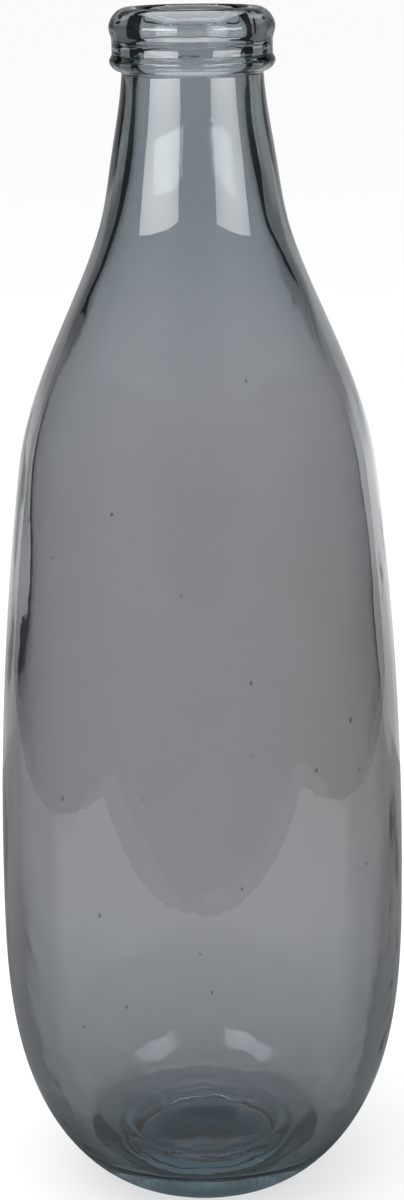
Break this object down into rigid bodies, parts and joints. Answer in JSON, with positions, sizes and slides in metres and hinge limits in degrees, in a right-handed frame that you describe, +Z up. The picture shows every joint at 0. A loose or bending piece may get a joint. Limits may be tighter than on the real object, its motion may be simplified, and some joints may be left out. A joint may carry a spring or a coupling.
{
  "type": "bottle vase",
  "caption": "Tall bottle-shaped flower vase in thick smoked glass, with a rounded lip and bead, tapering neck, full body, rounded heel and small flat-bottomed base.",
  "frame": {"origin": "centre of the bearing ring under the base, on the surface that the vase stands on", "axes": "+Z up along the axis of revolution; the pictured front faces -Y"},
  "size_m": [0.1438, 0.1438, 0.42],
  "materials": {
    "smoked_glass": "polished"
  },
  "bodies": {
    "root": {"base": "smoked_glass", "heel": "smoked_glass", "lower_body": "smoked_glass", "upper_body": "smoked_glass", "shoulder": "smoked_glass", "neck": "smoked_glass", "collar_bead": "smoked_glass", "lip_ring": "smoked_glass"}
  },
  "joints": []
}
